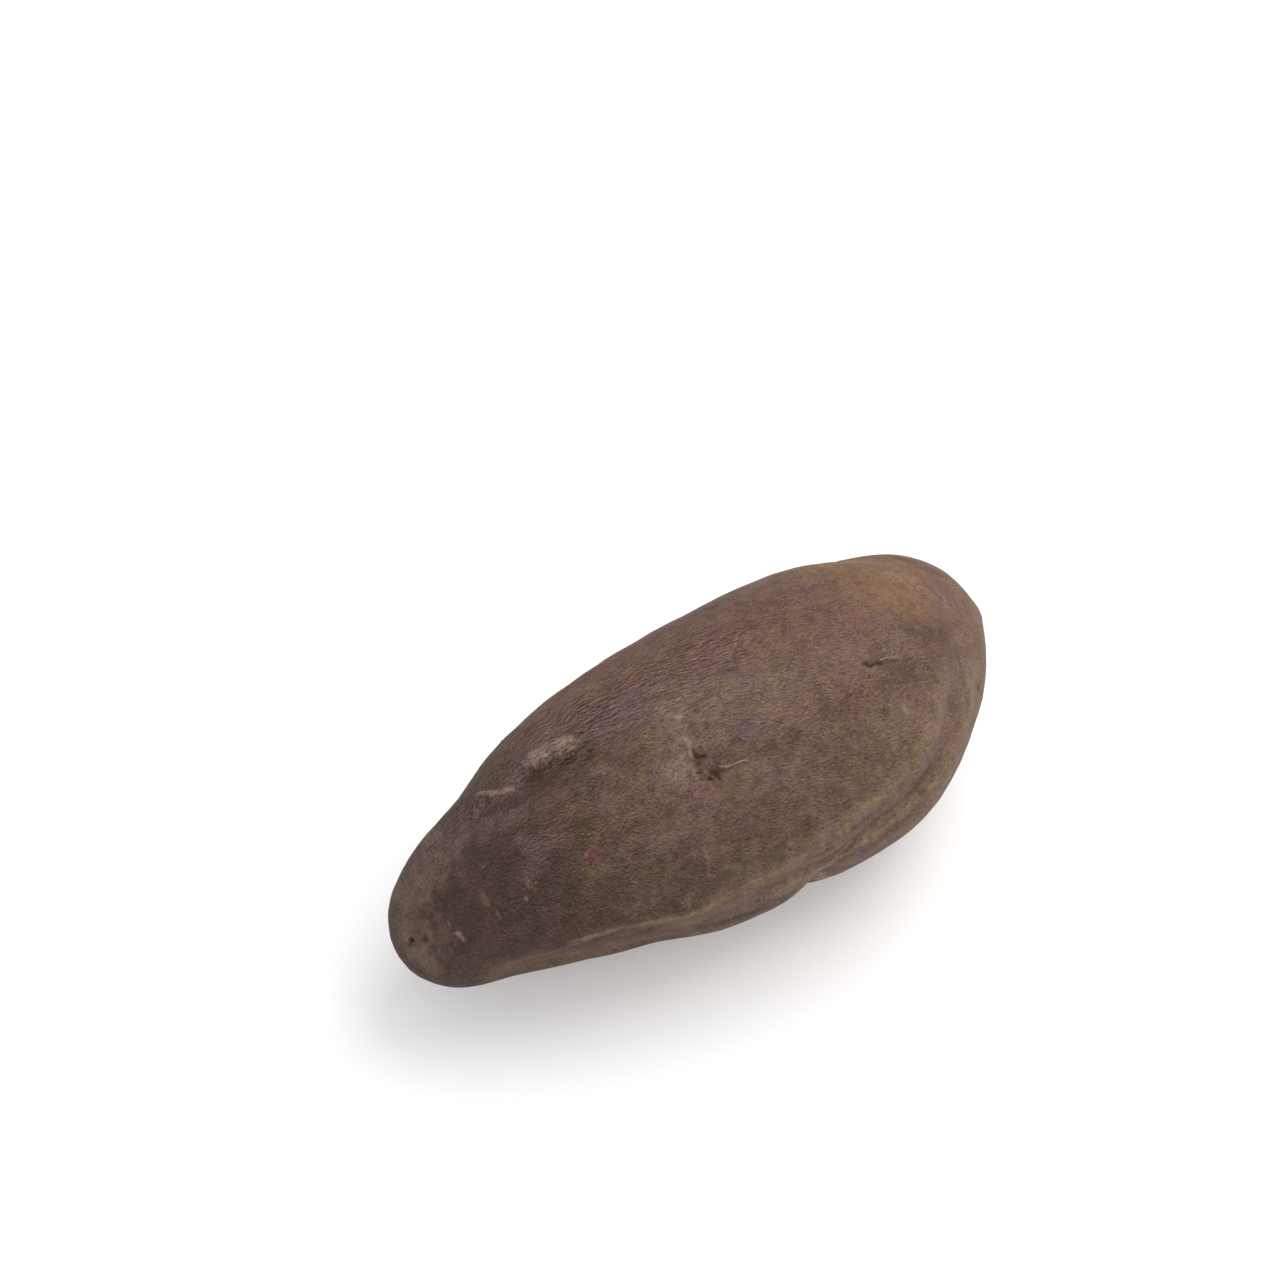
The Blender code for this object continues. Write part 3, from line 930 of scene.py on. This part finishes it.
def skin_finish():
    """Dull, thin, stained skin with short lengthwise fibres."""
    material, start = new_finish("skin")
    place = start.node("TexCoord", {}, {}, "Object")
    along = start.node("SeparateXYZ", {}, {"Vector": place}, "X")
    kept = [*stains, "fibrous", "combed", "from_fold"]
    amount = {name: start.node("Attribute", {"attribute_name": name}, {}, "Fac") for name in kept}
    noises = {name: noise_on(start, place, *look) for name, look in NOISES.items()}
    patches, mottle, coarse, grain, fine = noises.values()
    broken = (mottle - 0.5) * 1.4 + (grain - 0.5) * 1.2
    from_tail = (along + broken * 8 * MM).eased(*FROM_TAIL)
    to_crown = (along + broken * 12 * MM).eased(*TO_CROWN)
    colour = stained(amount, broken, from_tail, to_crown)
    colour = mottled(colour, noises, amount["tan"], from_tail)
    colour = streaked(colour, start, place, amount["from_fold"])

    winding = along * (along * TWIST[1] + TWIST[0]) + (patches - 0.5) * 0.15
    fibres = fibres_on(start, place, winding, amount["combed"])
    # Painted light on the upper side of each dash and painted shade on its lower side, from the noise turned
    # a hair further round minus the noise.
    painted_fibre_light_and_shade = fibres_on(start, place, winding + HAIR_TURN, amount["combed"]) - fibres
    fibrous = amount["fibrous"] * (patches.eased(0.25, 0.75) * 0.4 + 0.6)
    colour = dimmed(colour, (painted_fibre_light_and_shade * fibrous * FIBRE_CONTRAST + 0.98).limited(*FIBRE_SHADES))
    grains = ((grain - 0.5) * 1.2 + (coarse - 0.5) * 1.0) * (from_tail * 0.5 + 0.5)
    colour = dimmed(colour, grains + (fine - 0.5) * 1.2 + 1)
    colour = laid_over(colour, specks_on(start, place, *DARK_SPECKS) * 0.5, SHADE)
    colour = laid_over(colour, specks_on(start, place, *PALE_SPECKS) * 0.4, LIGHT)

    height = fibres * (fibrous + 0.05) * 2 + grain * 0.6 + fine * 0.1
    bump = start.node("Bump", {}, {"Strength": 1, "Distance": BUMP_HEIGHT, "Height": height}, "Normal")
    roughness = 0.58 + (grain - 0.5) * 0.3 + amount["fibrous"] * 0.1
    sockets = {"Base Color": colour, "Roughness": roughness, "Normal": bump, "Specular IOR Level": 0.12}
    shader = start.node("BsdfPrincipled", {}, sockets)
    start.node("OutputMaterial", {}, {"Surface": shader})
    return material


skin.data.materials.append(skin_finish())
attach(skin, "root")
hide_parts("sweet_potato")
finished_skin = BVHTree.FromObject(skin, bpy.context.evaluated_depsgraph_get())
print("finish nodes:", len(skin.data.materials[0].node_tree.nodes))

# %% [markdown]
# ## Rootlets
#
# Hair-thin rootlets, long dried out, still hang from the eyes and curl over the skin. Each could be a
# cylinder bent many times. A path with a round section is what a rootlet is, and the path may taper, so
# each one is a path through five places, with a lift over the skin, that is then made into a mesh.

# %% Hang the rootlets from the eyes
TAPER = (1, 0.9, 0.75, 0.6, 0.35)
FAR_ROOTLET = ((0, 0, -0.2), (1, -1, 0.5), (2.2, -1, 0.9), (3.6, 0, 0.9), (4.6, 2, 0.5))  # off an eye
ROOTLETS = (  # radius in millimetres, and places with their lift over the skin
    (0.15, ((-13.2, 59, -0.2), (-12.9, 57.8, 0.4), (-12.2, 57, 0.4), (-11.2, 57.2, 0.4), (-10.6, 57.4, 0.1))),
    (0.16, ((-12.2, 56.8, 0.0), (-11, 56.2, 0.5), (-9.6, 56.3, 0.8), (-8.2, 56.2, 1.0), (-7.6, 54.6, 0.6))),
    (0.13, ((31.6, 63.2, -0.1), (32.8, 63, 0.4), (34, 62.4, 0.5), (35.6, 61, 0.5), (37.2, 59.4, 0.2))),
    (0.10, ((32, 63.4, -0.1), (33, 63.3, 0.5), (34.2, 62.8, 0.6), (35.4, 61.8, 0.5), (36.6, 60.8, 0.3))),
    *((0.14, [(x + along, t + turn, lift) for along, turn, lift in FAR_ROOTLET]) for x, t in FAR_EYES[:3]),
)


def rootlet(radius, places):
    """A thin tapering tube along a path through five places."""
    bpy.ops.curve.primitive_nurbs_path_add()
    tube = bpy.context.object
    spline = tube.data.splines[0]
    for point, place, share in zip(spline.points, places, TAPER):
        point.co = (*on_skin(*place, surface=finished_skin), 1)
        point.radius = share
    spline.use_endpoint_u = True
    spline.resolution_u = 4
    tube.data.bevel_depth = radius * MM
    tube.data.bevel_resolution = 1
    tube.data.use_fill_caps = True
    bpy.ops.object.convert(target="MESH")
    return bpy.context.object


def joined(name, pieces):
    """The pieces as one object at the origin."""
    bpy.ops.object.select_all(action="DESELECT")
    for piece in pieces:
        piece.select_set(True)
    bpy.context.view_layer.objects.active = pieces[0]
    bpy.ops.object.join()
    bpy.ops.object.transform_apply(location=True, rotation=True, scale=True)
    bpy.ops.object.shade_smooth()
    whole = bpy.context.object
    whole.name = name
    return whole


def plain_finish(name, colour, other, grain, roughness):
    """A dull finish that wavers between two colours, with a fine grain."""
    material, start = new_finish(name)
    place = start.node("TexCoord", {}, {}, "Object")
    waver = noise_on(start, place, grain, detail=4, roughness=0.65)
    bump = start.node("Bump", {}, {"Strength": 1, "Distance": 0.1 * grain, "Height": waver}, "Normal")
    coloured = laid_over(colour, waver.eased(0.35, 0.65), other)
    sockets = {"Base Color": coloured, "Roughness": roughness, "Normal": bump, "Specular IOR Level": 0.2}
    shader = start.node("BsdfPrincipled", {}, sockets)
    start.node("OutputMaterial", {}, {"Surface": shader})
    return material


rootlets = joined("rootlets", [rootlet(*row) for row in ROOTLETS])
straw, brown = (0.38, 0.28, 0.20, 1), (0.24, 0.17, 0.11, 1)
rootlets.data.materials.append(plain_finish("dry rootlet", straw, brown, 2 * MM, 0.6))
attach(rootlets, "root")
print("rootlets:", len(ROOTLETS), "with", len(rootlets.data.polygons), "faces")

# %% [markdown]
# ## The torn stem
#
# The root hung on a thin woody stem at its broad end, and what is left is a torn stub round a hollow pith,
# a few millimetres wide. It could be one more bump of the skin, but wood ends in an edge. So it is a disc,
# pushed out and narrowed step by step, then pushed in again for the pith. Shaking its corners tears it.

# %% Build the torn stem
NECK = (87, 0)  # past the broad end, so the point of the skin nearest to it
STUB_RADIUS = 2.7 * MM
STUB_SINK = 1.5 * MM
STUB_SHIFT = Vector((0, 1.5, -2)) * MM  # from the middle of the neck
STUB_STEPS = (  # push in millimetres, and how much the end then narrows
    (1.0, 0.92), (0.7, 0.85), (0.6, 0.95), (0.1, 0.72), (-0.7, 0.75), (-0.4, 0.5),
)
STUB_TEAR = 0.3 * MM

neck = on_skin(*NECK, surface=finished_skin)
stub_foot = finished_skin.find_nearest(neck + STUB_SHIFT)[0] - Vector((STUB_SINK, 0, 0))
bpy.ops.object.select_all(action="DESELECT")
facing_out = (0, math.radians(90), 0)
bpy.ops.mesh.primitive_circle_add(
    vertices=20, radius=STUB_RADIUS, fill_type="NGON", location=stub_foot, rotation=facing_out
)
stub = bpy.context.object
bpy.ops.object.mode_set(mode="EDIT")
for push, narrowing in STUB_STEPS:
    bpy.ops.mesh.extrude_region_move(TRANSFORM_OT_translate={"value": (push * MM, 0, 0)})
    bpy.ops.transform.resize(value=(1, narrowing, narrowing))
bpy.ops.mesh.select_all(action="SELECT")
bpy.ops.transform.vertex_random(offset=STUB_TEAR, seed=4)
bpy.ops.mesh.normals_make_consistent(inside=False)
bpy.ops.object.mode_set(mode="OBJECT")
finish_with(stub, "SUBSURF", levels=2, render_levels=2)
stub = joined("stem_stub", [stub])
wood, shaded_wood = (0.15, 0.10, 0.065, 1), (0.06, 0.04, 0.027, 1)
stub.data.materials.append(plain_finish("torn wood", wood, shaded_wood, 0.6 * MM, 0.75))
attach(stub, "root")
print("stem stub, mm:", [round(size / MM, 1) for size in stub.dimensions])

# %% [markdown]
# ## Crumbs
#
# Corky crumbs and grains of dry sap sit by the eyes, round the rosy spot and here and there on the back.
# They could be noise in the skin, but a few stand clear of it. Each is a rough little ball with its middle
# under the skin. Two finishes are enough, pale cork and yellowish sap.

# %% Set the crumbs
CORK_CRUMBS = (  # radius in millimetres, and place
    (0.4, (-14, 69.5)), (0.4, (-17, 72)), (0.35, (-14.2, 61.8)), (0.3, (-15.2, 56.2)), (0.3, (28.8, 64.2)),
    (0.45, (29, 53.2)), (0.6, (-45.4, 52)), (0.35, (-28, 66)), (0.4, (-20, -14.6)), (0.35, (-80.6, -126)),
    (0.2, (-74, 20)), (0.25, (-73.4, 12)), (0.3, (-73, 4)), (0.25, (-74, 55)), (0.3, (-59, 40)),
    (0.25, (-58, 153)), (0.25, (62, 74)), (0.25, (63, 84)), (0.25, (62, 70)), (0.3, (17, 36)),
)
SAP_CRUMBS = (
    (0.3, (-44, 65)), (0.25, (-43, 63)), (0.25, (-43, 60)), (0.25, (-44, 61)), (0.2, (-42, 62)),
    (0.2, (-45, 64)), (0.3, (-57, 55)), (0.3, (-56, 58)), (0.25, (-57, 53)), (0.25, (-56, 51)),
    (0.25, (-57, 49)), (0.25, (-45, 44)), (0.2, (-46, 45)), (0.2, (-43, 44)),
)
STRAY_CRUMBS = 18
SINK = 0.35  # how far the middle lies under the skin, as a share of the radius
ROUGH = 0.35  # how far the corners are shaken, as a share of the radius
rng = random.Random(5)


def crumb(radius, place):
    """A rough little ball with its middle under the skin."""
    bpy.ops.object.select_all(action="DESELECT")
    middle = on_skin(*place, lift=-SINK * radius, surface=finished_skin)
    bpy.ops.mesh.primitive_ico_sphere_add(subdivisions=2, radius=radius * MM, location=middle)
    bpy.ops.object.mode_set(mode="EDIT")
    bpy.ops.transform.vertex_random(offset=ROUGH * radius * MM, seed=rng.randrange(1000))
    bpy.ops.object.mode_set(mode="OBJECT")
    return bpy.context.object


def stray_crumb():
    """A radius and a place for a crumb somewhere on the back."""
    return rng.uniform(0.2, 0.35), (rng.uniform(-70, 70), rng.uniform(140, 235))


strays = [stray_crumb() for _ in range(STRAY_CRUMBS)]
cork = joined("cork_crumbs", [crumb(*row) for row in [*CORK_CRUMBS, *strays]])
pale_cork, brown_cork = (0.19, 0.135, 0.10, 1), (0.12, 0.08, 0.056, 1)
cork.data.materials.append(plain_finish("cork", pale_cork, brown_cork, 0.8 * MM, 0.7))
sap = joined("sap_crumbs", [crumb(*row) for row in SAP_CRUMBS])
yellow_sap, brown_sap = (0.19, 0.135, 0.08, 1), (0.10, 0.067, 0.036, 1)
sap.data.materials.append(plain_finish("dry sap", yellow_sap, brown_sap, 0.8 * MM, 0.6))
for crumbs in (cork, sap):
    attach(crumbs, "root")
    print(crumbs.name, "faces:", len(crumbs.data.polygons))

# %% [markdown]
# ## Floor and light
#
# The root lies on a plain pale floor, which glows a little so that it comes out near white. In the
# photograph the light is broad and soft, a little stronger from above on the right, where the crown is
# brightest. One large lamp does that, a weaker one in front on the right lights the folds, and a pale sky
# fills the shadows. A small hard lamp would throw shadows that the photograph doesn't have.

# %% Lay the floor and hang the lamps
WHITE = (1, 1, 1, 1)
FLOOR_SIDE = 6
FLOOR_COLOUR = (0.84, 0.83, 0.82, 1)
FLOOR_GLOW = 0.2
LAMPS = {  # place in metres, power in watts, side in metres
    "key": ((0.80, 0.05, 1.2), 12, 1.2),
    "front": ((0.9, -1.1, 0.55), 5, 1.2),
}
SKY_STRENGTH = 0.75

bpy.ops.mesh.primitive_plane_add(size=FLOOR_SIDE)
floor = bpy.context.object
floor.name = "floor"
floor_finish, floor_start = new_finish("floor")
floor_look = {"Base Color": FLOOR_COLOUR, "Roughness": 0.7}
floor_glow = {"Emission Color": WHITE, "Emission Strength": FLOOR_GLOW}
floor_shader = floor_start.node("BsdfPrincipled", {}, {**floor_look, **floor_glow})
floor_start.node("OutputMaterial", {}, {"Surface": floor_shader})
floor.data.materials.append(floor_finish)

for name, (place, power, side) in LAMPS.items():
    bpy.ops.object.light_add(type="AREA", location=place)
    lamp = bpy.context.object
    lamp.name = name
    lamp.data.energy = power
    lamp.data.size = side
    lamp.rotation_euler = (-lamp.location).to_track_quat("-Z", "Y").to_euler()

world = bpy.data.worlds.new("sky")
world.use_nodes = True
sky = world.node_tree.nodes["Background"]
sky.inputs["Color"].default_value = WHITE
sky.inputs["Strength"].default_value = SKY_STRENGTH
bpy.context.scene.world = world
bpy.context.scene.view_settings.view_transform = "Standard"
print("lamps:", len(LAMPS))
